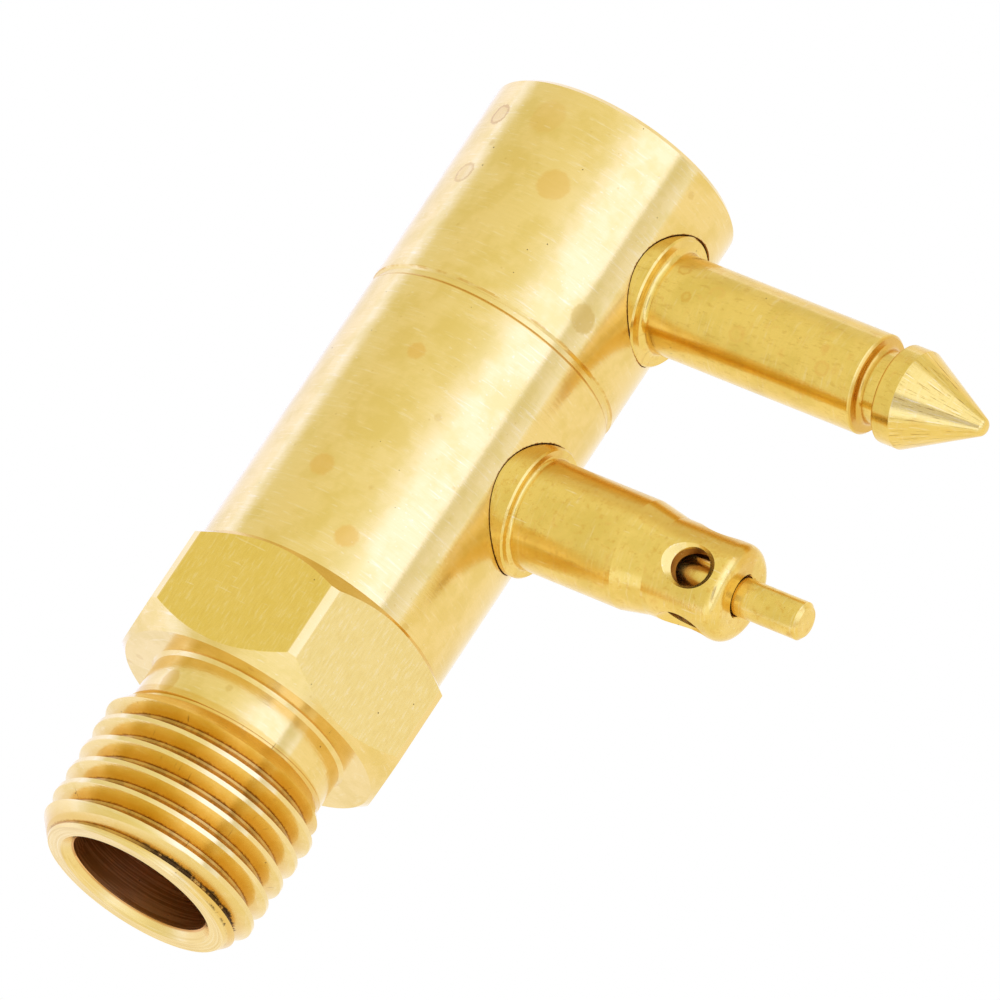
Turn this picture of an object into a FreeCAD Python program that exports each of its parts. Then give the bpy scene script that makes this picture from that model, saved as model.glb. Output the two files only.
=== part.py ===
"""Two-prong male fuel tank connector: a brass elbow body with a taper pipe thread.

Frame: millimetres, +Z up the body axis, origin at the centre of the thread's lower end
face.  Both prongs point along +X.  The locating pin is the upper prong.  The lower prong
is a hollow valve nipple with a spring-loaded pin that the mating socket pushes in.

All turned pieces are revolved from one outline each.  An outline is a list of
(along, across) pairs of spreadsheet expressions.
"""
import FreeCAD, Part
import os
import re
import Sketcher

FULL_TURN = 360.0
MIN_THREAD_VOLUME = 50.0  # mm3 that the thread groove has to take away

# Driving dimensions, millimetres.  Heights are along +Z, reaches are along +X.
SIZES = {
    # small cuts that several pieces share
    "edge_break": 0.1,
    "lead_in": 0.2,
    # body: turned bar with a hexagon left on it
    "body_dia": 15.2,
    "body_height": 49.95,
    "rim_chamfer": 0.3,
    "band_height": 36.2,
    "band_width": 0.6,
    "band_depth": 0.16,
    "hex_flats": 15.875,
    "hex_corner_dia": 18.03,
    "hex_face_dia": 15.4,
    "hex_face_height": 11.52,
    "hex_top_slope": 0.84,
    "hex_under_slope": 0.95,
    "hex_land_top": 17.25,
    "hex_cutter_reach": 21.5,
    "neck_dia": 11.66,
    "neck_root": 0.2,
    # taper pipe thread, 18 to the inch, 1 in 16 on the diameter
    "thread_pitch": 1.4111,
    "thread_taper": 0.0625,
    "thread_small_dia": 12.78,
    "thread_depth": 0.88,
    "thread_root_flat": 0.14,
    "thread_margin": 0.12,
    "thread_end": 9.0,
    "thread_end_chamfer": 1.15,
    "thread_lead": 1.15,
    "thread_first_groove": -2.07,
    "thread_height": 11.7,
    "end_face_dia": 10.9,
    # fuel way inside the body
    "bore_dia": 8.3,
    "bore_chamfer": 0.5,
    "bore_depth": 15.5,
    "gallery_dia": 6.0,
    "gallery_top": 32.3,
    "drill_point": 1.6,
    # how both prongs sit in the body
    "collar_floor": 5.8,
    "collar_gap": 0.05,
    # locating pin, the upper prong
    "pin_height": 43.52,
    "pin_collar_dia": 7.5,
    "pin_collar_face": 7.55,
    "pin_shank_dia": 5.0,
    "pin_shank_start": 0.6,
    "pin_hole_start": 0.3,
    "pin_dia": 5.7,
    "pin_shaft_end": 21.0,
    "pin_shaft_bevel": 0.15,
    "latch_dia": 4.2,
    "latch_end": 22.3,
    "latch_corner": 0.3,
    "point_dia": 5.6,
    "point_base": 23.45,
    "point_end": 27.95,
    "point_slope": 0.531,
    "point_radius": 0.4,
    "root_fillet": 0.35,
    # valve nipple, the lower prong
    "nipple_height": 29.1,
    "nipple_collar_dia": 7.45,
    "nipple_collar_face": 8.05,
    "nipple_shank_dia": 5.5,
    "nipple_shank_start": 3.4,
    "nipple_base_dia": 6.26,
    "nipple_base_end": 14.6,
    "nipple_dia": 5.55,
    "nipple_taper_end": 16.4,
    "nipple_end": 21.15,
    "nose_radius": 0.75,
    "nose_hole_dia": 2.36,
    "nose_hole_start": 20.35,
    "front_room_dia": 3.2,
    "rear_room_dia": 4.0,
    "seat_start": 16.2,
    "seat_end": 16.6,
    "port_dia": 2.25,
    "port_reach": 18.7,
    "port_break": 0.45,
    "port_overshoot": 0.5,
    "port_turn": 13.0,
    # valve pin and its seal
    "stem_dia": 2.16,
    "stem_tip": 25.2,
    "stem_tip_chamfer": 0.22,
    "seal_neck_dia": 1.7,
    "seal_centre": 16.25,
    "seal_wire_dia": 0.9,
    "valve_head_dia": 3.3,
    "valve_head_start": 14.3,
    "valve_tail_dia": 1.6,
    "valve_tail_start": 11.5,
    # spring and the ring that holds it in
    "retainer_start": 3.6,
    "retainer_end": 5.0,
    "retainer_hole_dia": 1.9,
    "spring_wire_dia": 0.4,
    "spring_mean_dia": 2.5,
    "spring_turns": 7.0,
    "spring_end_gap": 0.02,
}


def fill_sheet(doc):
    """Put every driving dimension in the sheet, one aliased cell each."""
    sheet = doc.addObject("Spreadsheet::Sheet", "Sizes")
    for row, (alias, value) in enumerate(SIZES.items(), start=1):
        sheet.set(f"A{row}", alias)
        sheet.set(f"B{row}", str(value))
        sheet.setAlias(f"B{row}", alias)
    doc.recompute()
    return sheet


def size(text):
    """Turn 'hex_flats / 2' into an expression that reads the sheet."""
    return re.sub("[a-z_]+", lambda word: f"Sizes.{word[0]}" if word[0] in SIZES else word[0], text)


def new_body(doc, label):
    body = doc.addObject("PartDesign::Body", label)
    body.Label = label
    return body


def plane(body, role):
    return next(f for f in body.Origin.OriginFeatures if f.Role == role)


def new_sketch(body, name, role="XZ_Plane", lift=None):
    """A sketch on one of the body's own planes, lifted along its local Y by an expression."""
    sketch = body.newObject("Sketcher::SketchObject", name)
    sketch.AttachmentSupport = (plane(body, role), [""])
    sketch.MapMode = "FlatFace"
    if lift:
        sketch.setExpression("AttachmentOffset.Base.y", size(lift))
    return sketch


def draw_outline(sketch, points):
    """Draw a closed outline whose corners are pinned by sheet expressions."""
    sheet = sketch.Document.getObject("Sizes")
    places = [FreeCAD.Vector(*(float(sheet.evalExpression(size(t))) for t in pair), 0) for pair in points]
    count = len(points)
    for i in range(count):
        sketch.addGeometry(Part.LineSegment(places[i], places[(i + 1) % count]), False)
    for i in range(count):
        sketch.addConstraint(Sketcher.Constraint("Coincident", i, 2, (i + 1) % count, 1))
    for i, (pair, place) in enumerate(zip(points, places)):
        for kind, text, value in (("DistanceX", pair[0], place.x), ("DistanceY", pair[1], place.y)):
            index = sketch.addConstraint(Sketcher.Constraint(kind, -1, 1, i, 1, value))
            if text != "0":
                sketch.setExpression(f"Constraints[{index}]", size(text))


def outline(body, name, points, lift=None):
    """A sketch of one closed outline in the XZ plane."""
    sketch = new_sketch(body, name, lift=lift)
    draw_outline(sketch, points)
    return sketch


def round_section(body, name, along, across, diameter):
    """One circle in the XZ plane whose centre and diameter follow the sheet."""
    sketch = new_sketch(body, name)
    sheet = body.Document.getObject("Sizes")
    x, y, width = (float(sheet.evalExpression(size(t))) for t in (along, across, diameter))
    sketch.addGeometry(Part.Circle(FreeCAD.Vector(x, y, 0), FreeCAD.Vector(0, 0, 1), width / 2), False)
    for constraint, text in (
        (Sketcher.Constraint("DistanceX", -1, 1, 0, 3, x), along),
        (Sketcher.Constraint("DistanceY", -1, 1, 0, 3, y), across),
        (Sketcher.Constraint("Diameter", 0, width), diameter),
    ):
        index = sketch.addConstraint(constraint)
        if text != "0":
            sketch.setExpression(f"Constraints[{index}]", size(text))
    return sketch


def turned(body, kind, name, sketch, axis):
    """Revolve (or groove) a sketch a full turn about one of its own axes."""
    feature = body.newObject(f"PartDesign::{kind}", name)
    feature.Profile = sketch
    feature.ReferenceAxis = (sketch, [axis])
    feature.Angle = FULL_TURN
    body.Document.recompute()
    return feature


def ring_edge(shape, axis, along, diameter):
    """Name of the full circle about a prong axis ('x') or body axis ('z') at one place."""
    for number, edge in enumerate(shape.Edges, start=1):
        curve = edge.Curve
        if isinstance(curve, Part.Circle) and abs(getattr(curve.Center, axis) - along) < 1e-4:
            if abs(2 * curve.Radius - diameter) < 1e-4 and abs(getattr(curve.Axis, axis)) > 0.999:
                return f"Edge{number}"
    raise RuntimeError(f"no circle at {axis}={along} with diameter {diameter}")


def rounded(body, name, base, radius, *places):
    """Fillet the full circles at the given (along X, diameter) expressions."""
    doc = body.Document
    sheet = doc.getObject("Sizes")
    local = base.Shape
    edges = [ring_edge(local, "x", *(float(sheet.evalExpression(size(t))) for t in place)) for place in places]
    fillet = body.newObject("PartDesign::Fillet", name)
    fillet.Base = (base, edges)
    fillet.setExpression("Radius", size(radius))
    doc.recompute()
    return fillet


def body_outline():
    """Half section of the body: outside from the top down, then the fuel way back up."""
    crest = "( thread_small_dia + thread_taper * {0} ) / 2"
    last_crest = "thread_end - thread_end_chamfer"
    corner_rise = "( hex_corner_dia - hex_face_dia ) / 2 * hex_under_slope"
    return [
        ("0", "body_height"),
        ("body_dia / 2 - rim_chamfer", "body_height"),
        ("body_dia / 2", "body_height - rim_chamfer"),
        ("body_dia / 2", "band_height + band_width"),
        ("body_dia / 2 - band_depth", "band_height + band_width - band_depth"),
        ("body_dia / 2 - band_depth", "band_height + band_depth"),
        ("body_dia / 2", "band_height"),
        ("body_dia / 2", "hex_land_top + ( hex_corner_dia - body_dia ) / 2 * hex_top_slope"),
        ("hex_corner_dia / 2", "hex_land_top"),
        ("hex_corner_dia / 2", f"hex_face_height + {corner_rise}"),
        ("hex_face_dia / 2", "hex_face_height"),
        ("neck_dia / 2 + neck_root", "hex_face_height"),
        ("neck_dia / 2", "hex_face_height - neck_root"),
        ("neck_dia / 2", "thread_end"),
        (crest.format(f"( {last_crest} )"), last_crest),
        (crest.format("thread_lead"), "thread_lead"),
        ("end_face_dia / 2", "0"),
        ("bore_dia / 2 + bore_chamfer", "0"),
        ("bore_dia / 2", "bore_chamfer"),
        ("bore_dia / 2", "bore_depth"),
        ("gallery_dia / 2", "bore_depth + ( bore_dia - gallery_dia ) / 4"),
        ("gallery_dia / 2", "gallery_top"),
        ("0", "gallery_top + drill_point"),
    ]


def cut_hexagon(body):
    """Mill the six flats: everything outside a hexagon, over the height of the collar."""
    sketch = new_sketch(body, "hexagon", "XY_Plane")
    sketch.setExpression("AttachmentOffset.Base.z", size("hex_face_height - neck_root"))
    corner = "hex_flats / sqrt(3)"
    draw_outline(sketch, [(f"{corner} * cos({turn} deg)", f"{corner} * sin({turn} deg)")
                          for turn in range(0, 360, 60)])
    sketch.addGeometry(Part.Circle(FreeCAD.Vector(0, 0, 0), FreeCAD.Vector(0, 0, 1), 1.0), False)
    sketch.addConstraint(Sketcher.Constraint("Coincident", 6, 3, -1, 1))
    index = sketch.addConstraint(Sketcher.Constraint("Diameter", 6, 2.0))
    sketch.setExpression(f"Constraints[{index}]", size("hex_cutter_reach"))
    flats = body.newObject("PartDesign::Pocket", "flats")
    flats.Profile = sketch
    flats.Reversed = True
    flats.setExpression("Length", size("hex_land_top + hex_corner_dia / 4 - hex_face_height"))
    body.Document.recompute()
    return flats


def thread_groove(doc):
    """The V groove of the taper thread, swept up a conical helix and run out in the neck."""
    root = "( thread_small_dia + thread_taper * thread_first_groove ) / 2 - thread_depth"
    outside = f"{root} + thread_depth + thread_margin"
    flank = "( thread_depth + thread_margin ) * tan(30 deg)"
    helix = doc.addObject("Part::Helix", "thread_helix")
    helix.SegmentLength = 1
    helix.setExpression("Pitch", size("thread_pitch"))
    helix.setExpression("Height", size("thread_height"))
    helix.setExpression("Radius", size(root))
    helix.setExpression("Angle", size("atan(thread_taper / 2)"))
    helix.setExpression("Placement.Base.z", size("thread_first_groove"))
    section = doc.addObject("Sketcher::SketchObject", "thread_section")
    section.Placement.Rotation = FreeCAD.Rotation(FreeCAD.Vector(1, 0, 0), 90)
    draw_outline(section, [
        (root, "thread_first_groove - thread_root_flat / 2"),
        (outside, f"thread_first_groove - thread_root_flat / 2 - {flank}"),
        (outside, f"thread_first_groove + thread_root_flat / 2 + {flank}"),
        (root, "thread_first_groove + thread_root_flat / 2"),
    ])
    doc.recompute()
    groove = doc.addObject("Part::Sweep", "thread_groove")
    groove.Sections = [section]
    groove.Spine = (helix, [f"Edge{n + 1}" for n in range(len(helix.Shape.Edges))])
    groove.Solid = True
    groove.Frenet = True
    doc.recompute()
    if groove.Shape.Volume > 0:
        return groove
    turned_out = doc.addObject("Part::Reverse", "thread_groove_turned_out")
    turned_out.Source = groove
    doc.recompute()
    return turned_out


def make_body(doc):
    """The turned and milled bar, then the thread cut from it."""
    body = new_body(doc, "unthreaded_body")
    turned(body, "Revolution", "bar", outline(body, "half_section", body_outline()), "V_Axis")
    cut_hexagon(body)
    holes = {
        "pin": [
            ("pin_hole_start", "0"),
            ("pin_hole_start", "pin_shank_dia / 2"),
            ("collar_floor", "pin_shank_dia / 2"),
            ("collar_floor", "pin_collar_dia / 2 + collar_gap"),
            ("body_dia", "pin_collar_dia / 2 + collar_gap"),
            ("body_dia", "0"),
        ],
        "nipple": [
            ("0", "0"),
            ("0", "nipple_shank_dia / 2"),
            ("collar_floor", "nipple_shank_dia / 2"),
            ("collar_floor", "nipple_collar_dia / 2 + collar_gap"),
            ("body_dia", "nipple_collar_dia / 2 + collar_gap"),
            ("body_dia", "0"),
        ],
    }
    for prong, points in holes.items():
        section = outline(body, f"{prong}_hole_section", points, lift=f"{prong}_height")
        turned(body, "Groove", f"{prong}_hole", section, "H_Axis")
    threaded = doc.addObject("Part::Cut", "threaded_body")
    threaded.Label = "body"
    threaded.Base = body
    threaded.Tool = thread_groove(doc)
    doc.recompute()
    if body.Shape.Volume - threaded.Shape.Volume < MIN_THREAD_VOLUME:
        raise RuntimeError("the thread groove cut nothing")
    return threaded


def make_locating_pin(doc):
    body = new_body(doc, "locating_pin")
    body.setExpression("Placement.Base.z", size("pin_height"))
    tip_radius = "( point_dia / 2 - ( point_end - point_base ) * point_slope )"
    turned_pin = turned(body, "Revolution", "turned_pin", outline(body, "half_section", [
        ("pin_shank_start", "0"),
        ("pin_shank_start", "pin_shank_dia / 2 - lead_in"),
        ("pin_shank_start + lead_in", "pin_shank_dia / 2"),
        ("collar_floor", "pin_shank_dia / 2"),
        ("collar_floor", "pin_collar_dia / 2"),
        ("pin_collar_face - edge_break", "pin_collar_dia / 2"),
        ("pin_collar_face", "pin_collar_dia / 2 - edge_break"),
        ("pin_collar_face", "pin_dia / 2"),
        ("pin_shaft_end - pin_shaft_bevel", "pin_dia / 2"),
        ("pin_shaft_end", "pin_dia / 2 - pin_shaft_bevel"),
        ("pin_shaft_end", "latch_dia / 2"),
        ("latch_end", "latch_dia / 2"),
        ("latch_end", "point_dia / 2 - edge_break"),
        ("latch_end + edge_break", "point_dia / 2"),
        ("point_base", "point_dia / 2"),
        ("point_end", tip_radius),
        ("point_end", "0"),
    ]), "H_Axis")
    point = rounded(body, "blunt_point", turned_pin, "point_radius", ("point_end", f"2 * {tip_radius}"))
    latch = rounded(body, "latch_corners", point, "latch_corner",
                    ("pin_shaft_end", "latch_dia"), ("latch_end", "latch_dia"))
    rounded(body, "root", latch, "root_fillet", ("pin_collar_face", "pin_dia"))
    return body


def make_valve_nipple(doc):
    body = new_body(doc, "valve_nipple")
    body.setExpression("Placement.Base.z", size("nipple_height"))
    shell = turned(body, "Revolution", "turned_shell", outline(body, "half_section", [
        ("nipple_shank_start", "rear_room_dia / 2"),
        ("nipple_shank_start", "nipple_shank_dia / 2 - lead_in"),
        ("nipple_shank_start + lead_in", "nipple_shank_dia / 2"),
        ("collar_floor", "nipple_shank_dia / 2"),
        ("collar_floor", "nipple_collar_dia / 2"),
        ("nipple_collar_face - edge_break", "nipple_collar_dia / 2"),
        ("nipple_collar_face", "nipple_collar_dia / 2 - edge_break"),
        ("nipple_collar_face", "nipple_base_dia / 2"),
        ("nipple_base_end", "nipple_base_dia / 2"),
        ("nipple_taper_end", "nipple_dia / 2"),
        ("nipple_end", "nipple_dia / 2"),
        ("nipple_end", "nose_hole_dia / 2 + edge_break"),
        ("nipple_end - edge_break", "nose_hole_dia / 2"),
        ("nose_hole_start", "nose_hole_dia / 2"),
        ("nose_hole_start", "front_room_dia / 2"),
        ("seat_end", "front_room_dia / 2"),
        ("seat_start", "rear_room_dia / 2"),
    ]), "H_Axis")
    nose = rounded(body, "nose", shell, "nose_radius", ("nipple_end", "nipple_dia"))
    rounded(body, "root", nose, "root_fillet * 0.6", ("nipple_collar_face", "nipple_base_dia"))
    section = outline(body, "port_section", [
        ("port_reach", "0"),
        ("port_reach", "nipple_dia / 2 + port_overshoot"),
        ("port_reach + port_dia / 2 + port_break + port_overshoot", "nipple_dia / 2 + port_overshoot"),
        ("port_reach + port_dia / 2", "nipple_dia / 2 - port_break"),
        ("port_reach + port_dia / 2", "0"),
    ])
    start = FreeCAD.Vector(SIZES["port_reach"], 0, 0)
    axis = section.addGeometry(Part.LineSegment(start, start + FreeCAD.Vector(0, 1, 0)), True)
    section.addConstraint(Sketcher.Constraint("Coincident", axis, 1, 0, 1))
    section.addConstraint(Sketcher.Constraint("Vertical", axis))
    section.addConstraint(Sketcher.Constraint("DistanceY", axis, 1, axis, 2, 1.0))
    section.setExpression("AttachmentOffset.Rotation.Axis.x", "1")
    section.setExpression("AttachmentOffset.Rotation.Axis.z", "0")
    section.setExpression("AttachmentOffset.Rotation.Angle", size("90 + port_turn"))
    port = turned(body, "Groove", "port", section, "Axis0")
    ports = body.newObject("PartDesign::PolarPattern", "four_ports")
    ports.Originals = [port]
    ports.Axis = (section, ["H_Axis"])
    ports.Angle = FULL_TURN
    ports.Occurrences = 4
    body.Tip = ports
    doc.recompute()
    return body


def make_valve_pin(doc):
    """Stem, seal neck, head and spring tail, turned in one piece."""
    body = new_body(doc, "valve_pin")
    body.setExpression("Placement.Base.z", size("nipple_height"))
    neck_start = "seal_centre - seal_wire_dia / 2"
    neck_end = "seal_centre + seal_wire_dia / 2"
    turned(body, "Revolution", "turned_stem", outline(body, "half_section", [
        ("valve_tail_start", "0"),
        ("valve_tail_start", "valve_tail_dia / 2 - lead_in"),
        ("valve_tail_start + lead_in", "valve_tail_dia / 2"),
        ("valve_head_start", "valve_tail_dia / 2"),
        ("valve_head_start", "valve_head_dia / 2"),
        (neck_start, "valve_head_dia / 2"),
        (neck_start, "seal_neck_dia / 2"),
        (neck_end, "seal_neck_dia / 2"),
        (neck_end, "stem_dia / 2"),
        ("stem_tip - stem_tip_chamfer", "stem_dia / 2"),
        ("stem_tip", "stem_dia / 2 - stem_tip_chamfer"),
        ("stem_tip", "0"),
    ]), "H_Axis")
    return body


def make_valve_seal(doc):
    """The O-ring that sits on the stem neck and closes on the conical seat."""
    body = new_body(doc, "valve_seal")
    body.setExpression("Placement.Base.z", size("nipple_height"))
    section = round_section(body, "ring_section", "seal_centre",
                            "seal_neck_dia / 2 + seal_wire_dia / 2", "seal_wire_dia")
    turned(body, "Revolution", "ring", section, "H_Axis")
    return body


def make_spring_retainer(doc):
    """The ring pressed into the tail of the nipple that the spring pushes against."""
    body = new_body(doc, "spring_retainer")
    body.setExpression("Placement.Base.z", size("nipple_height"))
    turned(body, "Revolution", "ring", outline(body, "half_section", [
        ("retainer_start", "retainer_hole_dia / 2 + lead_in"),
        ("retainer_start", "rear_room_dia / 2 - lead_in"),
        ("retainer_start + lead_in", "rear_room_dia / 2"),
        ("retainer_end", "rear_room_dia / 2"),
        ("retainer_end", "retainer_hole_dia / 2"),
        ("retainer_start + lead_in", "retainer_hole_dia / 2"),
    ]), "H_Axis")
    return body


def make_valve_spring(doc):
    body = new_body(doc, "valve_spring")
    body.setExpression("Placement.Base.z", size("nipple_height"))
    first = "retainer_end + spring_wire_dia / 2 + spring_end_gap"
    section = round_section(body, "wire_section", first, "spring_mean_dia / 2", "spring_wire_dia")
    coil = body.newObject("PartDesign::AdditiveHelix", "coil")
    coil.Profile = section
    coil.ReferenceAxis = (section, ["H_Axis"])
    coil.Mode = 0
    length = "( valve_head_start - retainer_end - spring_wire_dia - 2 * spring_end_gap )"
    coil.setExpression("Pitch", size(f"{length} / spring_turns"))
    coil.setExpression("Height", size(length))
    doc.recompute()
    return body


def check(doc, bodies):
    """Stop on any failed object or any piece that isn't one valid solid."""
    for item in doc.Objects:
        if {"Invalid", "Error"} & set(item.State):
            raise RuntimeError(f"{item.Name} failed: {item.State}")
    for body in bodies:
        shape = body.Shape
        if shape.isNull() or not shape.isValid() or len(shape.Solids) != 1:
            raise RuntimeError(f"{body.Label} isn't one valid solid")
        print(f"{body.Label:16s} {shape.Volume:9.2f} mm3  x {shape.BoundBox.XMin:.2f}..{shape.BoundBox.XMax:.2f}"
              f"  z {shape.BoundBox.ZMin:.2f}..{shape.BoundBox.ZMax:.2f}")


def main():
    doc = FreeCAD.newDocument("tank_connector")
    fill_sheet(doc)
    bodies = [
        make_body(doc),
        make_locating_pin(doc),
        make_valve_nipple(doc),
        make_valve_pin(doc),
        make_valve_seal(doc),
        make_valve_spring(doc),
        make_spring_retainer(doc),
    ]
    doc.recompute()
    check(doc, bodies)
    os.makedirs("parts", exist_ok=True)
    for body in bodies:
        body.Shape.exportStep(f"parts/{body.Label}.step")


main()
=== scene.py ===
"""Looks of a brass two-prong fuel tank connector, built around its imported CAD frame.

Names that end in _MM or _mm, and all places and sizes inside the Brass materials, are in
millimetres. Every other length is in metres.
"""
import math

import bpy
from mathutils import Euler, Matrix, Vector


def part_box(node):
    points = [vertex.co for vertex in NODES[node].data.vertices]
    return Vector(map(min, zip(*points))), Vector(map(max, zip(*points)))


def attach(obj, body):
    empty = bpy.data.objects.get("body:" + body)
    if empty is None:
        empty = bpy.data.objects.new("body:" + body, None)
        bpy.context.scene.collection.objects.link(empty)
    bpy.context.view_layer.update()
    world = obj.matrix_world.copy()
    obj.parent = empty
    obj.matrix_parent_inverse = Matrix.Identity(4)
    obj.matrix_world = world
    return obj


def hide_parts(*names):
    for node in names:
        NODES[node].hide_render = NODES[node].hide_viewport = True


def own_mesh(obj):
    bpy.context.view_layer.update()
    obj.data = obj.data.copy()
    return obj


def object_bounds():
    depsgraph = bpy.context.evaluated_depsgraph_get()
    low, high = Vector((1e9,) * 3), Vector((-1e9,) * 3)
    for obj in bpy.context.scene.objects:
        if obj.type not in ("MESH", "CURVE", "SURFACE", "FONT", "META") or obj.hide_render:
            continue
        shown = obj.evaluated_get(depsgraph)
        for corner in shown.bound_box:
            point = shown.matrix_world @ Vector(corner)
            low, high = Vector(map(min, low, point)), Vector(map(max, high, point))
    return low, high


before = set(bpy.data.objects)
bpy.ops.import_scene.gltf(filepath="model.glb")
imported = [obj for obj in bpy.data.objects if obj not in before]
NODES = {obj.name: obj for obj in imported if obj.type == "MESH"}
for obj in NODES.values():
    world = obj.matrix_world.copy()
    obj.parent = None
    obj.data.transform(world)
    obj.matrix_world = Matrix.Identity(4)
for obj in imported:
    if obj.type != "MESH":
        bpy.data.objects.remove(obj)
CAD_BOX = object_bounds()

MM = 0.001
WHITE = (1.0, 1.0, 1.0)

# ---------------------------------------------------------------- camera
CAMERA_AZIMUTH = math.radians(-60.62)    # from +X towards +Y, seen from above
CAMERA_ELEVATION = math.radians(-20.66)  # looking up at the object from below
CAMERA_ROLL = math.radians(-33.48)       # leans the body's axis to the upper right
CAMERA_DISTANCE = 0.77159
CAMERA_SHIFT = Vector((-0.001224, 0.004448))  # aim point, right and up of the bounds centre
CAMERA_LENS_MM = 518.7
CAMERA_CLIP_END = 10.0
SENSOR_MM = 36.0


def bounds_centre():
    low, high = CAD_BOX
    return (Vector(low) + Vector(high)) / 2


def towards_camera():
    flat = math.cos(CAMERA_ELEVATION)
    x, y = flat * math.cos(CAMERA_AZIMUTH), flat * math.sin(CAMERA_AZIMUTH)
    return Vector((x, y, math.sin(CAMERA_ELEVATION)))


def camera_axes():
    """Right, up and back of the leaning camera."""
    back = towards_camera()
    level_right = Vector((0, 0, 1)).cross(back).normalized()
    lean = Matrix.Rotation(-CAMERA_ROLL, 3, back)
    return lean @ level_right, lean @ back.cross(level_right), back


def add_camera():
    """A long lens, so that the picture is close to parallel as in product macro work."""
    right, up, back = camera_axes()
    data = bpy.data.cameras.new("camera")
    data.lens = CAMERA_LENS_MM
    data.sensor_width = SENSOR_MM
    data.clip_end = CAMERA_CLIP_END
    camera = bpy.data.objects.new("camera", data)
    place = bounds_centre() + right * CAMERA_SHIFT.x + up * CAMERA_SHIFT.y + back * CAMERA_DISTANCE
    camera.matrix_world = Matrix((right, up, back)).transposed().to_4x4()
    camera.matrix_world.translation = place
    bpy.context.scene.collection.objects.link(camera)
    bpy.context.scene.camera = camera


# ---------------------------------------------------------------- node helpers
class Graph:
    """A thin layer over a node tree, so that a shader reads as a formula."""

    def __init__(self, tree):
        self.tree = tree
        tree.nodes.clear()

    def node(self, kind, **settings):
        made = self.tree.nodes.new(kind)
        for name, value in settings.items():
            setattr(made, name, value)
        return made

    def link(self, source, target):
        """Connect a socket, or set a plain value."""
        if isinstance(source, bpy.types.NodeSocket):
            self.tree.links.new(source, target)
        elif isinstance(source, (tuple, list)) and target.type == "RGBA" and len(source) == 3:
            target.default_value = (*source, 1.0)
        else:
            target.default_value = source

    def fill(self, made, **values):
        """Give a node's inputs their values by name."""
        for name, value in values.items():
            self.link(value, made.inputs[name])

    def output(self, shader, kind="ShaderNodeOutputMaterial"):
        self.link(shader.outputs[0], self.node(kind).inputs[0])

    def math(self, operation, *values):
        made = self.node("ShaderNodeMath", operation=operation)
        for socket, value in zip(made.inputs, values):
            self.link(value, socket)
        return made.outputs[0]

    def vector(self, operation, *values):
        made = self.node("ShaderNodeVectorMath", operation=operation)
        for socket, value in zip(made.inputs, values):
            self.link(value, socket)
        return made.outputs["Value" if operation == "DOT_PRODUCT" else "Vector"]

    def split(self, vector):
        made = self.node("ShaderNodeSeparateXYZ")
        self.link(vector, made.inputs[0])
        return tuple(made.outputs)

    def combine(self, x, y, z):
        made = self.node("ShaderNodeCombineXYZ")
        self.fill(made, X=x, Y=y, Z=z)
        return made.outputs[0]

    def place_mm(self):
        """The point on the surface in the object's frame, in millimetres."""
        place = self.node("ShaderNodeTexCoord").outputs["Object"]
        return self.vector("MULTIPLY", place, (1 / MM,) * 3)

    def mix(self, factor, a, b):
        made = self.node("ShaderNodeMix", data_type="RGBA")
        for index, value in ((0, factor), (6, a), (7, b)):
            self.link(value, made.inputs[index])
        return made.outputs[2]

    def smooth(self, value, low, high):
        """Smoothstep: 0 at low and 1 at high, and low may be the larger of the two."""
        made = self.node("ShaderNodeMapRange", interpolation_type="SMOOTHSTEP")
        for index, number in enumerate((value, low, high)):
            self.link(number, made.inputs[index])
        return made.outputs[0]

    def noise(self, vector, scale, detail=2.0, roughness=0.5):
        made = self.node("ShaderNodeTexNoise")
        self.fill(made, Vector=vector, Scale=scale, Detail=detail, Roughness=roughness)
        return made.outputs[0]

    def ramp(self, value, stops):
        made = self.node("ShaderNodeValToRGB")
        elements = made.color_ramp.elements
        while len(elements) < len(stops):
            elements.new(0.5)
        for element, (place, colour) in zip(elements, stops):
            element.position = place
            element.color = (*colour, 1.0)
        self.link(value, made.inputs[0])
        return made.outputs[0]

    def bump(self, height, distance):
        made = self.node("ShaderNodeBump")
        self.fill(made, Height=height, Distance=distance)
        return made.outputs[0]


def new_material(name):
    material = bpy.data.materials.new(name)
    material.use_nodes = True
    return material, Graph(material.node_tree)


# ---------------------------------------------------------------- shape of the object
# heights run up the body's axis from its threaded end, and reaches along +X from that axis
BODY_RADIUS_MM = 7.6
BAND_START_MM = 36.2
BAND_END_MM = 36.8
HEX_HALF_FLATS_MM = 7.9375
HEX_SLANT = math.radians(30)
HEX_LAND_RADIUS_MM = 9.015
HEX_FACE_MM = 11.52
HEX_TOP_MM = 18.35
THREAD_START_MM = 0.3
LEAD_END_MM = 0.9         # top of the plain lead below the first turn
FIRST_ROOT_MM = 1.1       # top of the root between the lead and the first turn
THREAD_END_MM = 9.3
THREAD_SMALL_DIA_MM = 12.78
THREAD_TAPER = 1 / 16
THREAD_DEPTH_MM = 0.88
BORE_RADIUS_MM = 4.15
BORE_MOUTH_MM = 0.1
BORE_END_MM = 36.0        # above every drilled way inside the body
COLLAR_GAP_MM = 0.05
SEAM_REACH_MM = 3.0       # the painted shade in a prong's seam starts at this reach
PIN_RADIUS_MM = 2.85
LATCH_START_MM = 21.0
LATCH_END_MM = 22.3
CONE_START_MM = 23.45
NIPPLE_RADIUS_MM = 3.13
PORT_START_MM = 17.0
PORT_END_MM = 20.4
PORT_SKIN_MM = 2.76       # radius just under the nipple's skin round the ports
PORT_FLOOR_MM = 2.32      # radius where a port's flare ends and its drilled wall starts
NOSE_START_MM = 20.7
STEM_RADIUS_MM = 1.1


def node_middle(node):
    low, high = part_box(node)
    return (low.z + high.z) / 2


def node_height_mm(node):
    return node_middle(node) / MM


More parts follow.
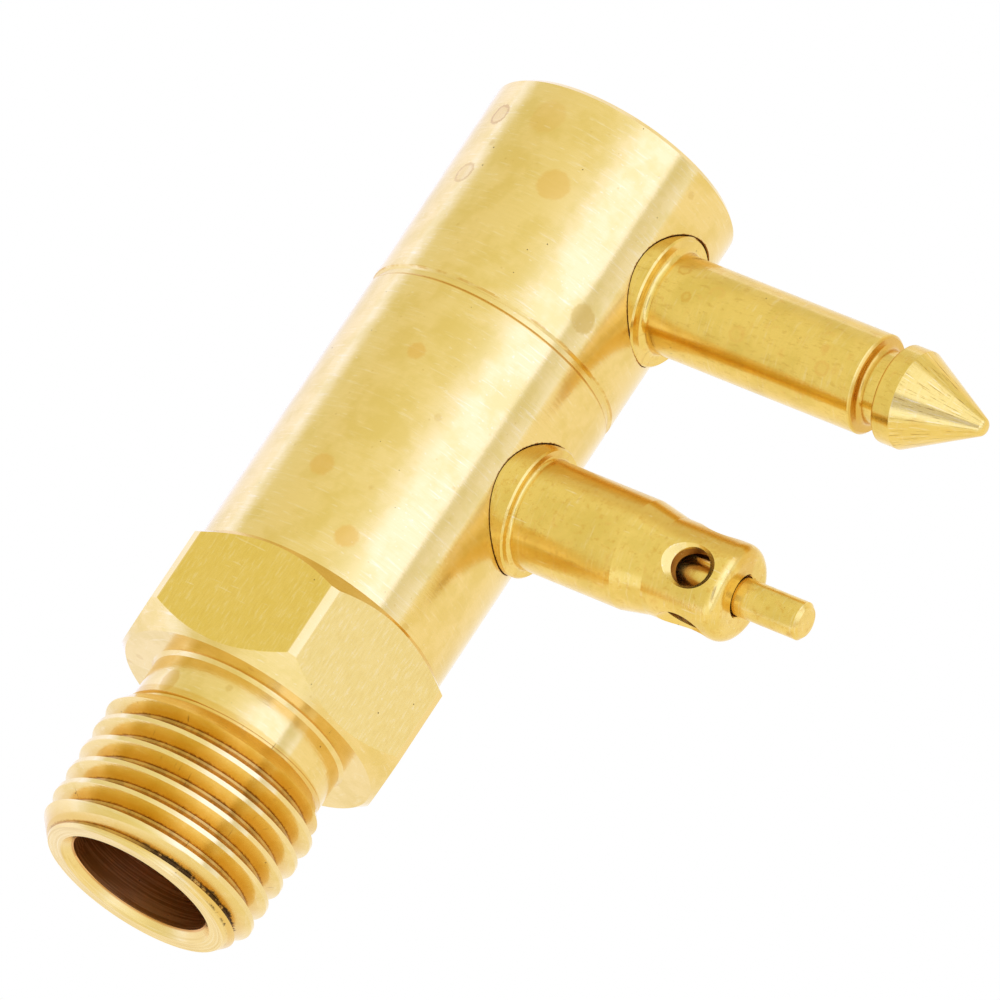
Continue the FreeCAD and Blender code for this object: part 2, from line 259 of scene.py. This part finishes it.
def node_radius_mm(node):
    low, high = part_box(node)
    return (high.z - low.z) / 2 / MM


# ---------------------------------------------------------------- colours
BODY_BRASS = (0.865, 0.63, 0.225)
BODY_OLIVE = (0.80, 0.57, 0.165)
FLAT_BRASS = (0.80, 0.55, 0.10)
PRONG_BRASS = (0.86, 0.60, 0.15)
PRONG_OLIVE = (0.78, 0.54, 0.12)
AMBER = (0.66, 0.33, 0.03)
THREAD_ROOT_SHADE = (0.70, 0.37, 0.015)
SPOT_BROWN = (0.62, 0.36, 0.06)
TARNISH = (0.80, 0.48, 0.11)
GREY_STAIN = (0.68, 0.44, 0.10)
RING_STAIN = (0.62, 0.37, 0.11)
PALE_EDGE = (0.95, 0.80, 0.48)
GRIME = (0.09, 0.035, 0.01)
ROOT_BROWN = (0.45, 0.18, 0.015)
INNER_SHADE_BROWN = (0.40, 0.16, 0.035)
BLACK_DIRT = (0.045, 0.02, 0.007)
BORE_BROWN = (0.56, 0.24, 0.045)
BORE_RING = (0.95, 0.55, 0.20)
SEAM_SHADE_BROWN = (0.45, 0.18, 0.03)
STEEL = (0.62, 0.62, 0.6)
RUBBER = (0.03, 0.03, 0.03)


class Brass(Graph):
    """A turned brass surface that details are laid over, one after another."""

    BUMP_MM = 0.004

    def __init__(self, name, axis, height_mm, radius_mm, fresh, olive, roughness):
        self.material = bpy.data.materials.new(name)
        self.material.use_nodes = True
        super().__init__(self.material.node_tree)
        self.axis = axis
        self.radius_mm = radius_mm
        self.place = self.place_mm()
        self.x, self.y, self.z = self.split(self.place)
        if axis == "Z":
            self.along, across, up = self.z, self.x, self.y
        else:
            self.along, across, up = self.x, self.y, self.math("SUBTRACT", self.z, height_mm)
        self.angle = self.math("ARCTAN2", up, across)
        self.arc = self.scaled(self.angle, radius_mm)
        self.radius = self.length(across, up)
        self.clouds = self.noise(self.place, 0.5, detail=3.0, roughness=0.6)
        self.grain = self.noise(self.place, 6.0)
        self.colour = self.mix(self.smooth(self.clouds, 0.4, 0.66), fresh, olive)
        self.rough = self.math("MULTIPLY_ADD", self.clouds, 0.10, roughness - 0.05)
        self.height = self.scaled(self.grain, 0.25)

    def length(self, a, b):
        squares = self.math("MULTIPLY", a, a), self.math("MULTIPLY", b, b)
        return self.math("SQRT", self.math("ADD", *squares))

    def scaled(self, value, factor):
        return self.math("MULTIPLY", value, factor)

    def both(self, *masks):
        total = masks[0]
        for mask in masks[1:]:
            total = self.math("MULTIPLY", total, mask)
        return total

    def band(self, value, low, high, soft):
        """1 between low and high, with soft edges."""
        return self.both(self.smooth(value, low - soft, low), self.smooth(value, high + soft, high))

    def paint(self, mask, colour, strength=1.0, rough=None):
        """Lay a colour, and if given a roughness, over part of the surface."""
        amount = self.scaled(mask, strength)
        self.colour = self.mix(amount, self.colour, colour)
        if rough is not None:
            step = self.math("SUBTRACT", rough, self.rough)
            self.rough = self.math("MULTIPLY_ADD", step, amount, self.rough)

    def tool_marks(self, olive, contrast):
        """Fine rings left by the lathe, broken into strokes that run round the axis."""
        along, arc = self.scaled(self.along, 7.0), self.scaled(self.arc, 0.55)
        strokes = self.combine(along, arc, self.scaled(self.radius, 3.0))
        fine = self.noise(strokes, 1.0, detail=3.0, roughness=0.7)
        self.paint(self.smooth(fine, 0.48, 0.75), olive, contrast)
        self.paint(self.smooth(fine, 0.44, 0.28), PALE_EDGE, contrast * 0.8)
        self.height = self.math("MULTIPLY_ADD", fine, 1.2, self.height)

    def spots(self, cells_per_mm, smallest, spread, kept, colour, strength, soft=0.01):
        """Scattered round marks: the middles of a share of the cells of a random pattern."""
        cells = self.node("ShaderNodeTexVoronoi", feature="F1")
        self.fill(cells, Vector=self.place, Scale=cells_per_mm)
        tone = self.node("ShaderNodeSeparateColor")
        self.link(cells.outputs["Color"], tone.inputs[0])
        size = self.math("MULTIPLY_ADD", tone.outputs[1], spread, smallest)
        ragged = self.math("MULTIPLY_ADD", self.grain, soft * 2, cells.outputs["Distance"])
        dot = self.smooth(self.math("SUBTRACT", ragged, size), soft, -soft)
        chosen = self.math("LESS_THAN", tone.outputs[0], kept)
        self.paint(self.both(dot, chosen), colour, strength, rough=0.3)

    def dirt_specks(self, cells_per_mm, strength):
        self.spots(cells_per_mm, 0.02, 0.06, 0.3, GRIME, strength)

    def brown_spots(self, strength):
        """Faint brown blots where drops have dried."""
        self.spots(0.9, 0.06, 0.22, 0.28, SPOT_BROWN, strength, soft=0.06)
        self.spots(2.3, 0.05, 0.16, 0.2, SPOT_BROWN, strength, soft=0.05)

    def scratches(self, strength):
        """Hairline scratches: the peaks of a noise that is stretched into long thin fibres."""
        for turn, lean in ((0.5, 1.7), (2.2, 5.2)):
            fibres = self.node("ShaderNodeMapping")
            self.link(self.place, fibres.inputs["Vector"])
            fibres.inputs["Rotation"].default_value = Euler((turn, lean, turn * lean))
            fibres.inputs["Scale"].default_value = (0.8, 7.0, 7.0)
            line = self.smooth(self.noise(fibres.outputs[0], 1.0, detail=0.0), 0.79, 0.84)
            self.paint(line, PALE_EDGE, strength, rough=0.3)

    def stain(self, turn_degrees, along_mm, size_mm, colour, strength, ring=False):
        """A dried droplet: a filled patch, or a rim with a faint filling."""
        side = self.math("SUBTRACT", self.arc, math.radians(turn_degrees) * self.radius_mm)
        distance = self.length(side, self.math("SUBTRACT", self.along, along_mm))
        distance = self.math("MULTIPLY_ADD", self.clouds, 0.5 * size_mm, distance)
        distance = self.math("MULTIPLY_ADD", self.math("SUBTRACT", self.grain, 0.5), 0.25, distance)
        edge = size_mm * 1.25
        if ring:
            self.paint(self.smooth(distance, edge, edge - 0.1), colour, strength * 0.35)
            off_rim = self.math("ABSOLUTE", self.math("SUBTRACT", distance, edge))
            mask = self.smooth(off_rim, 0.13, 0.03)
        else:
            mask = self.smooth(distance, edge + 0.06, edge - 0.16)
        self.paint(mask, colour, strength, rough=0.26)

    def finish(self, anisotropic):
        """Join it all in a metal that blurs reflections along the axis, across its turning marks."""
        shader = self.node("ShaderNodeBsdfPrincipled")
        self.fill(shader, Metallic=1.0, Roughness=self.rough, Anisotropic=anisotropic)
        self.link(self.colour, shader.inputs["Base Color"])
        self.link(0.25, shader.inputs["Anisotropic Rotation"])
        tangent = self.node("ShaderNodeTangent", direction_type="RADIAL", axis=self.axis)
        normal = self.bump(self.height, self.BUMP_MM * MM)
        self.fill(shader, Tangent=tangent.outputs[0], Normal=normal)
        self.output(shader)
        return self.material


# ---------------------------------------------------------------- body material
# turn about the axis in degrees from +X, height and size in mm, colour, strength, as a ring
BODY_STAINS = (
    (-77.3, 44.1, 0.92, TARNISH, 0.55, False),
    (-36.6, 38.7, 0.85, GREY_STAIN, 0.8, False),
    (-123.4, 47.3, 0.62, RING_STAIN, 0.85, True),
    (-121.3, 43.2, 0.6, RING_STAIN, 0.6, True),
    (-87.0, 31.9, 0.55, TARNISH, 0.7, False),
    (-97.1, 47.6, 1.1, TARNISH, 0.28, False),
    (-68.0, 20.6, 0.7, TARNISH, 0.75, False),
    (-94.3, 23.7, 0.75, TARNISH, 0.6, False),
    (-113.0, 9.7, 0.8, AMBER, 0.4, False),
)
PALE_FLAT_X_MM = 4.4      # the two flats on the prongs' side, painted paler as a sheen, start about here


def body_brass():
    g = Brass("brass_body", "Z", 0.0, BODY_RADIUS_MM, BODY_BRASS, BODY_OLIVE, 0.15)
    g.tool_marks(BODY_OLIVE, 0.4)
    g.brown_spots(0.3)
    for stain in BODY_STAINS:
        g.stain(*stain)
    band_groove(g)
    milled_flats(g)
    g.scratches(0.28)
    thread_wear_and_shading(g)
    bore_tarnish(g)
    for node in ("locating_pin", "valve_nipple"):
        seam_shade(g, node_height_mm(node), node_radius_mm(node) + COLLAR_GAP_MM)
    g.dirt_specks(1.3, 0.8)
    return g.finish(anisotropic=0.5)


def band_groove(g):
    """The turned groove: a dull olive floor between amber lines of painted shade along its edges, a whole
    one below and a broken one above.
    """
    floor = g.band(g.z, BAND_START_MM + 0.12, BAND_END_MM - 0.12, 0.05)
    below = g.smooth(g.radius, BODY_RADIUS_MM - 0.02, BODY_RADIUS_MM - 0.05)
    broken = g.smooth(g.noise(g.place, 1.1, detail=3.0), 0.4, 0.6)
    lower = g.band(g.z, BAND_START_MM - 0.03, BAND_START_MM + 0.06, 0.03)
    upper = g.band(g.z, BAND_END_MM - 0.06, BAND_END_MM + 0.03, 0.03)
    g.paint(g.both(floor, below), BODY_OLIVE, 0.5, rough=0.24)
    # painted shade: amber lines along the groove's lower edge and, broken up, along its upper edge
    g.paint(lower, AMBER, 0.6, rough=0.3)
    g.paint(g.both(upper, broken), AMBER, 0.55, rough=0.3)


def milled_flats(g):
    """Flats are duller and greener than the turned bar, and the two on the prongs' side get a painted
    paler sheen; the corner lands are rubbed bright.
    """
    side_x, side_y = g.math("ABSOLUTE", g.x), g.math("ABSOLUTE", g.y)
    rise = g.scaled(side_y, math.sin(HEX_SLANT))
    slanted = g.math("MULTIPLY_ADD", side_x, math.cos(HEX_SLANT), rise)
    reach = g.math("MAXIMUM", side_y, slanted)
    in_height = g.band(g.z, HEX_FACE_MM + 0.1, HEX_TOP_MM, 0.05)
    flat = g.both(g.smooth(reach, HEX_HALF_FLATS_MM - 0.03, HEX_HALF_FLATS_MM - 0.01), in_height)
    upright = g.combine(g.scaled(g.arc, 4.0), g.scaled(g.z, 0.8), g.scaled(g.x, 3.0))
    strokes = g.noise(upright, 2.0, detail=4.0)
    painted_sheen_side = g.smooth(g.x, PALE_FLAT_X_MM, PALE_FLAT_X_MM + 0.4)
    g.paint(flat, FLAT_BRASS, 0.75, rough=0.22)
    # painted sheen: the two flats on the prongs' side are made paler, as the light falls on them
    g.paint(g.both(flat, painted_sheen_side), PALE_EDGE, 0.15, rough=0.24)
    g.paint(g.both(flat, g.smooth(strokes, 0.5, 0.66)), SPOT_BROWN, 0.13)
    g.paint(g.both(flat, g.smooth(strokes, 0.47, 0.32)), PALE_EDGE, 0.2)
    land = g.smooth(g.radius, HEX_LAND_RADIUS_MM - 0.04, HEX_LAND_RADIUS_MM - 0.015)
    g.paint(g.both(land, in_height), BODY_BRASS, 0.8, rough=0.22)


def thread_wear_and_shading(g):
    """A rubbed lead and turned end face, then the threads with painted amber shade in their roots and a
    painted highlight on their crests.
    """
    g.paint(g.smooth(g.z, LEAD_END_MM + 0.4, LEAD_END_MM), BODY_BRASS, 0.6, rough=0.3)
    rings = g.noise(g.combine(g.scaled(g.radius, 9.0), g.scaled(g.arc, 0.15), 0.0), 1.0)
    end_face = g.smooth(g.z, THREAD_START_MM, THREAD_START_MM - 0.2)
    g.paint(g.both(end_face, g.smooth(rings, 0.52, 0.66)), SPOT_BROWN, 0.3)
    g.paint(g.both(end_face, g.smooth(rings, 0.46, 0.34)), PALE_EDGE, 0.4)
    crest = g.math("MULTIPLY_ADD", g.z, THREAD_TAPER / 2, THREAD_SMALL_DIA_MM / 2)
    depth = g.math("SUBTRACT", crest, g.radius)
    outside = g.smooth(depth, THREAD_DEPTH_MM + 0.3, THREAD_DEPTH_MM + 0.1)
    zone = g.both(g.band(g.z, THREAD_START_MM, THREAD_END_MM, 0.15), outside)
    grainy_depth = g.math("MULTIPLY_ADD", g.grain, 0.25, depth)
    # painted shade: amber deepening in the thread roots, where the flanks shade and light each other
    g.paint(g.both(zone, g.smooth(grainy_depth, 0.25, 0.8)), THREAD_ROOT_SHADE, 0.45)
    # painted highlight along the thread crests
    g.paint(g.both(zone, g.smooth(depth, 0.08, 0.02)), PALE_EDGE, 0.2)
    thread_dirt(g, zone, depth, grainy_depth)


def thread_dirt(g, zone, depth, grainy_depth):
    """Brown lines in the roots, ticks across the flanks, and black dirt in the first root."""
    below_runout = g.smooth(g.z, THREAD_END_MM - 0.6, THREAD_END_MM - 0.9)
    deep = g.both(zone, below_runout, g.smooth(grainy_depth, 0.90, 0.98))
    broken = g.smooth(g.noise(g.place, 0.9, detail=4.0, roughness=0.7), 0.42, 0.6)
    g.paint(deep, ROOT_BROWN, 0.55)
    g.paint(g.both(deep, broken), GRIME, 0.3)
    ticks = g.noise(g.combine(g.scaled(g.arc, 3.2), g.scaled(g.z, 0.8), 0.0), 1.0, detail=1.0)
    ticks = g.smooth(ticks, 0.74, 0.78)
    g.paint(g.both(zone, g.smooth(grainy_depth, 0.3, 0.6), ticks), GRIME, 0.45)
    prong_side = g.smooth(g.angle, math.radians(-80), math.radians(-60))
    lumps = g.scaled(g.noise(g.place, 1.5, detail=3.0, roughness=0.7), 0.5)
    lumps = g.smooth(g.math("ADD", lumps, g.scaled(depth, 0.6)), 0.71, 0.78)
    first_root = g.smooth(g.z, FIRST_ROOT_MM + 0.25, FIRST_ROOT_MM)
    g.paint(g.both(zone, first_root, lumps, prong_side), BLACK_DIRT, 0.9, rough=0.6)


def bore_tarnish(g):
    """The drilled fuel way is brown with paler tool rings."""
    within = g.smooth(g.radius, BORE_RADIUS_MM + 0.12, BORE_RADIUS_MM + 0.03)
    above_mouth = g.smooth(g.z, BORE_MOUTH_MM, BORE_MOUTH_MM + 0.4)
    inside = g.both(within, above_mouth, g.math("LESS_THAN", g.z, BORE_END_MM))
    rings = g.noise(g.combine(g.scaled(g.z, 10.0), g.scaled(g.arc, 0.12), 0.0), 1.0)
    g.paint(inside, BORE_BROWN, 0.92, rough=0.3)
    g.paint(g.both(inside, g.smooth(rings, 0.44, 0.62)), BORE_RING, 0.75)


def seam_shade(g, height_mm, radius_mm):
    """Painted shade, dark brown, in the seam round a pressed-in prong."""
    off = g.math("SUBTRACT", g.z, height_mm)
    ragged = g.math("MULTIPLY_ADD", g.grain, 0.16, g.length(g.y, off))
    ring = g.smooth(ragged, radius_mm + 0.13, radius_mm + 0.07)
    near_skin = g.smooth(g.x, SEAM_REACH_MM, SEAM_REACH_MM + 0.5)
    # painted shade in the seam between body and prong
    g.paint(g.both(ring, near_skin), SEAM_SHADE_BROWN, 0.9, rough=0.5)


# ---------------------------------------------------------------- prong materials
# a painted amber reflection of the body along the prongs: start, end and softness of its turn about +X,
# from +Y
AMBER_REFLECTION_SIDE = (math.radians(125), math.radians(160), math.radians(14))
# turn about the pin in degrees from +Y, reach and size in mm, colour, strength, as a ring
PIN_STAINS = (
    (162.0, 8.7, 0.3, AMBER, 0.4, True),
    (-168.0, 9.7, 0.25, AMBER, 0.4, True),
    (175.0, 11.2, 0.4, TARNISH, 0.4, True),
    (-150.0, 13.4, 0.4, TARNISH, 0.4, True),
    (-172.0, 18.6, 0.28, TARNISH, 0.6, False),
    (-150.0, 18.9, 0.35, TARNISH, 0.6, True),
    (-125.0, 24.9, 0.45, AMBER, 0.35, False),
)
PRONG_ANISOTROPY = 0.4


def prong_brass(name, node, radius_mm, roughness):
    g = Brass(name, "X", node_height_mm(node), radius_mm, PRONG_BRASS, PRONG_OLIVE, roughness)
    g.tool_marks(PRONG_OLIVE, 0.35)
    patches = g.noise(g.place, 1.3, detail=3.0, roughness=0.7)
    g.paint(g.smooth(patches, 0.56, 0.72), TARNISH, 0.5, rough=0.22)
    g.brown_spots(0.35)
    return g


def pin_brass():
    g = prong_brass("brass_pin", "locating_pin", PIN_RADIUS_MM, 0.19)
    lengthwise = g.combine(g.scaled(g.along, 1.4), g.scaled(g.arc, 4.0), g.radius)
    mottle = g.noise(lengthwise, 1.0, detail=4.0, roughness=0.75)
    g.paint(g.smooth(mottle, 0.52, 0.68), SPOT_BROWN, 0.42, rough=0.27)
    # painted reflection: the amber of the brass body mirrored along the pin
    g.paint(g.band(g.angle, *AMBER_REFLECTION_SIDE), AMBER, 0.12)
    for stain in PIN_STAINS:
        g.stain(*stain)
    g.paint(g.band(g.along, LATCH_START_MM - 0.05, LATCH_START_MM + 0.35, 0.08), AMBER, 0.55)
    cone_rays(g)
    g.paint(g.band(g.along, LATCH_END_MM - 0.15, LATCH_END_MM + 0.1, 0.1), AMBER, 0.4)
    g.dirt_specks(1.6, 0.8)
    g.dirt_specks(3.1, 0.5)
    return g.finish(PRONG_ANISOTROPY)


def cone_rays(g):
    """Amber, pale and dark rays that run down the pin's cone to its point."""
    cone = g.smooth(g.along, CONE_START_MM, CONE_START_MM + 0.1)
    fan = g.combine(g.scaled(g.angle, 14.0), g.scaled(g.along, 0.5), 0.0)
    rays = g.noise(fan, 1.0, detail=3.0, roughness=0.7)
    g.paint(cone, PRONG_BRASS, 0.5, rough=0.19)
    g.paint(g.both(cone, g.smooth(rays, 0.56, 0.64)), AMBER, 0.45)
    g.paint(g.both(cone, g.smooth(rays, 0.42, 0.36)), PALE_EDGE, 0.4)
    g.paint(g.both(cone, g.smooth(rays, 0.58, 0.66)), GRIME, 0.45)


def nipple_brass():
    g = prong_brass("brass_nipple", "valve_nipple", NIPPLE_RADIUS_MM, 0.2)
    mottle = g.noise(g.place, 2.8, detail=3.0, roughness=0.75)
    g.paint(g.smooth(mottle, 0.52, 0.68), AMBER, 0.36, rough=0.28)
    # painted reflection: the amber of the brass body mirrored along the nipple
    g.paint(g.band(g.angle, *AMBER_REFLECTION_SIDE), AMBER, 0.4, rough=0.26)
    under_skin = g.smooth(g.radius, PORT_SKIN_MM, PORT_SKIN_MM - 0.06)
    flare = g.both(under_skin, g.band(g.along, PORT_START_MM, PORT_END_MM, 0.05))
    g.paint(flare, PRONG_BRASS, 0.7, rough=0.3)
    # painted shade: dark brown on the drilled walls inside the nipple, below the ports' flares
    below_flare = g.smooth(g.radius, PORT_FLOOR_MM + 0.03, PORT_FLOOR_MM - 0.03)
    shaded_inside = g.both(below_flare, g.smooth(g.along, NOSE_START_MM + 0.2, NOSE_START_MM))
    g.paint(shaded_inside, INNER_SHADE_BROWN, 0.9, rough=0.35)
    g.scratches(0.35)
    g.dirt_specks(1.8, 0.8)
    return g.finish(PRONG_ANISOTROPY)


def stem_brass():
    g = prong_brass("brass_stem", "valve_nipple", STEM_RADIUS_MM, 0.27)
    mottle = g.noise(g.place, 2.0, detail=3.0, roughness=0.75)
    g.paint(g.smooth(mottle, 0.5, 0.68), AMBER, 0.4, rough=0.35)
    g.dirt_specks(2.2, 0.6)
    return g.finish(PRONG_ANISOTROPY)


def plain_shader(name, colour, roughness, metallic=0.0, bump_scale=None):
    """A plain surface with slight mottling, for the seal and the spring wire."""
    material, g = new_material(name)
    place = g.place_mm()
    mottle = g.noise(place, 2.5, detail=4.0)
    shader = g.node("ShaderNodeBsdfPrincipled")
    darker = tuple(c * 0.7 for c in colour)
    g.link(g.mix(mottle, darker, colour), shader.inputs["Base Color"])
    rough = g.math("ADD", roughness - 0.1, g.math("MULTIPLY", mottle, 0.2))
    g.fill(shader, Metallic=metallic, Roughness=rough)
    if bump_scale:
        normal = g.bump(g.noise(place, bump_scale, detail=3.0), 0.01 * MM)
        g.link(normal, shader.inputs["Normal"])
    g.output(shader)
    return material


def dress(node, material):
    """Give a CAD node its material; its mesh keeps its own smooth normals."""
    slots = NODES[node].data.materials
    slots.clear()
    slots.append(material)


# ---------------------------------------------------------------- spring
SPRING_TURNS = 8.0
SPRING_DEAD_TURNS = 1.0
SPRING_WIRE = 0.0004
SPRING_MEAN_RADIUS = 0.00125
SPRING_STEPS_PER_TURN = 28
SPRING_SIDES = 12
SPRING_END_GAP = 0.00002
SPRING_ROOM = 0.0093   # from the retainer to the valve head, at rest


def coil_place(turn, start, length):
    """How far along the axis the wire is after so many turns: close-wound at both ends."""
    dead_rise = SPRING_WIRE * SPRING_DEAD_TURNS
    free_turns = SPRING_TURNS - 2 * SPRING_DEAD_TURNS
    free = min(max(turn - SPRING_DEAD_TURNS, 0.0), free_turns)
    dead = turn - free
    return start + dead * SPRING_WIRE + free / free_turns * (length - 2 * dead_rise)


def coil_mesh(start, length, height):
    """A round wire wound about the nipple's axis, with flat ends."""
    steps = int(SPRING_TURNS * SPRING_STEPS_PER_TURN)
    vertices, faces = [], []
    for step in range(steps + 1):
        turn = step / SPRING_STEPS_PER_TURN
        angle = 2 * math.pi * turn
        outward = Vector((0, math.cos(angle), math.sin(angle)))
        centre = Vector((coil_place(turn, start, length), 0, height)) + outward * SPRING_MEAN_RADIUS
        for side in range(SPRING_SIDES):
            lean = 2 * math.pi * side / SPRING_SIDES
            rim = outward * math.cos(lean) + Vector((math.sin(lean), 0, 0))
            vertices.append(centre + rim * SPRING_WIRE / 2)
    for step in range(steps):
        for side in range(SPRING_SIDES):
            a, b = step * SPRING_SIDES + side, step * SPRING_SIDES + (side + 1) % SPRING_SIDES
            faces.append((a, b, b + SPRING_SIDES, a + SPRING_SIDES))
    faces.append(tuple(range(SPRING_SIDES))[::-1])
    faces.append(tuple(range(steps * SPRING_SIDES, (steps + 1) * SPRING_SIDES)))
    mesh = bpy.data.meshes.new("valve_spring_coil")
    mesh.from_pydata(vertices, [], faces)
    mesh.polygons.foreach_set("use_smooth", [len(face) == 4 for face in faces])
    return mesh


def build_spring():
    """A compression spring with closed end coils, in place of the plain CAD coil."""
    retainer_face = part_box("spring_retainer")[1].x
    head_face = retainer_face + SPRING_ROOM
    height = node_middle("valve_nipple")
    start = retainer_face + SPRING_WIRE / 2 + SPRING_END_GAP
    length = head_face - SPRING_WIRE / 2 - SPRING_END_GAP - start
    mesh = coil_mesh(start, length, height)
    mesh.materials.append(plain_shader("spring_wire", STEEL, 0.3, metallic=1.0))
    spring = bpy.data.objects.new("valve_spring_coil", mesh)
    bpy.context.scene.collection.objects.link(spring)
    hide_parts("valve_spring")
    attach(spring, "fitting")
    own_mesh(spring)


# ---------------------------------------------------------------- stage and light
TENT_LEFT = (1.19, 1.38, 2.5)
TENT_SOFT = (0.90, 0.93, 0.88)
TENT_BRIGHT = (1.32, 1.56, 2.9)
TENT_GROUND = (1.12, 1.22, 1.5)
# walls of the tent: turn from the camera's direction in degrees, and the colour there
TENT_WALLS = (
    (-180, (1.15, 1.28, 1.85)),
    (-145, TENT_LEFT),
    (-116, TENT_LEFT),
    (-102, TENT_SOFT),
    (-75, (0.92, 0.93, 0.83)),
    (-39, (0.97, 1.0, 0.90)),
    (-19, (1.05, 1.11, 1.2)),
    (-9, (1.10, 1.21, 1.56)),
    (9, TENT_BRIGHT),
    (39, TENT_BRIGHT),
    (42, (0.85, 0.91, 1.05)),
    (49, (0.94, 1.0, 1.26)),
    (60, (1.10, 1.25, 1.95)),
    (71, (1.1, 1.25, 1.9)),
    (81, (0.98, 1.06, 1.35)),
    (150, (1.03, 1.08, 1.25)),
    (180, (1.05, 1.1, 1.3)),
)
# each pair says where a tone begins and where it is full, here as heights on the unit sphere
GROUND_EDGE = (-0.89, -0.95)
ROOF_EDGE = (0.72, 0.84)

# the same for the camera's shade, in the camera's own right, up and back directions
CAMERA_SHADE = (0.25, 0.19, 0.12)
SHADE_STRENGTH = 0.6
SHADE_LEAN = -0.25        # sideways shift for each unit up
SHADE_SIDES = (0.2, 0.1)
SHADE_TOP = (-0.02, -0.07)
SHADE_FOOT = (-0.62, -0.42)
SHADE_FACING = (0.35, 0.55)

FLOOR_HALF_SIZE = 0.6
FLOOR_GAP = 0.0002
FLOOR_TONE = (1.05, 1.05, 1.05)
FLOOR_NEAR_LEFT = (1.07, 1.12, 1.4)
FLOOR_FAR_LEFT = (1.16, 1.27, 1.95)
# x where each of the floor's tones begins and where it is full
NEAR_LEFT_EDGE = (-0.004, -0.012)
FAR_LEFT_EDGE = (-0.010, -0.090)


def add_world():
    """A white light tent whose walls differ with the compass direction, with the camera's shadow in it."""
    world = bpy.data.worlds.new("tent")
    bpy.context.scene.world = world
    world.use_nodes = True
    g = Graph(world.node_tree)
    direction = g.node("ShaderNodeTexCoord").outputs["Generated"]
    x, y, z = g.split(direction)
    azimuth = g.math("ARCTAN2", y, x)
    turn = g.math("DIVIDE", g.math("SUBTRACT", azimuth, CAMERA_AZIMUTH), 2 * math.pi)
    turn = g.math("FRACT", g.math("ADD", turn, 1.5))  # 0.5 is straight at the camera
    walls = g.ramp(turn, [(0.5 + degrees / 360, colour) for degrees, colour in TENT_WALLS])
    walls = g.mix(g.smooth(z, *GROUND_EDGE), walls, TENT_GROUND)
    walls = g.mix(g.smooth(z, *ROOF_EDGE), walls, TENT_SOFT)
    walls = g.mix(camera_shade(g, direction), walls, CAMERA_SHADE)
    seen = g.node("ShaderNodeLightPath").outputs["Is Camera Ray"]
    light = g.node("ShaderNodeBackground")
    g.fill(light, Color=g.mix(seen, walls, WHITE))
    g.output(light, "ShaderNodeOutputWorld")


def camera_shade(g, direction):
    """The dark shape of the camera and its stand: a narrow zone below the lens."""
    side, rise, facing = (g.vector("DOT_PRODUCT", direction, tuple(axis)) for axis in camera_axes())
    off_side = g.math("ABSOLUTE", g.math("MULTIPLY_ADD", rise, SHADE_LEAN, side))
    shade = g.math("MULTIPLY", g.smooth(rise, *SHADE_TOP), g.smooth(rise, *SHADE_FOOT))
    shade = g.math("MULTIPLY", shade, g.smooth(facing, *SHADE_FACING))
    shade = g.math("MULTIPLY", shade, g.smooth(off_side, *SHADE_SIDES))
    return g.math("MULTIPLY", shade, SHADE_STRENGTH)


def add_floor():
    """The object lies on its +Y side on a pale sheet, which is see-through from behind."""
    centre = bounds_centre()
    y = CAD_BOX[1][1] + FLOOR_GAP
    signs = ((-1, -1), (1, -1), (1, 1), (-1, 1))
    corners = [(centre.x + sx * FLOOR_HALF_SIZE, y, centre.z + sz * FLOOR_HALF_SIZE) for sx, sz in signs]
    mesh = bpy.data.meshes.new("floor")
    mesh.from_pydata(corners, [], [(0, 1, 2, 3)])
    mesh.materials.append(pale_sheet())
    floor = bpy.data.objects.new("floor", mesh)
    bpy.context.scene.collection.objects.link(floor)


def pale_sheet():
    """White to the camera; in reflections it is brighter and bluer towards -X."""
    material, g = new_material("pale_sheet")
    x = g.split(g.node("ShaderNodeTexCoord").outputs["Object"])[0]
    tone = g.mix(g.smooth(x, *NEAR_LEFT_EDGE), FLOOR_TONE, FLOOR_NEAR_LEFT)
    tone = g.mix(g.smooth(x, *FAR_LEFT_EDGE), tone, FLOOR_FAR_LEFT)
    seen = g.node("ShaderNodeLightPath").outputs["Is Camera Ray"]
    sheet = g.node("ShaderNodeEmission")
    g.fill(sheet, Color=g.mix(seen, tone, WHITE))
    clear = g.node("ShaderNodeBsdfTransparent")
    pick = g.node("ShaderNodeMixShader")
    backfacing = g.node("ShaderNodeNewGeometry").outputs["Backfacing"]
    for socket, value in zip(pick.inputs, (backfacing, sheet.outputs[0], clear.outputs[0])):
        g.link(value, socket)
    g.output(pick)
    return material


def main():
    bpy.context.scene.view_settings.view_transform = "Standard"
    add_camera()
    add_world()
    add_floor()
    dress("body", body_brass())
    dress("locating_pin", pin_brass())
    dress("valve_nipple", nipple_brass())
    stem = stem_brass()
    dress("valve_pin", stem)
    dress("spring_retainer", stem)
    dress("valve_seal", plain_shader("seal_rubber", RUBBER, 0.6, bump_scale=6.0))
    dress("valve_spring", plain_shader("hidden_wire", STEEL, 0.3, metallic=1.0))
    build_spring()


main()
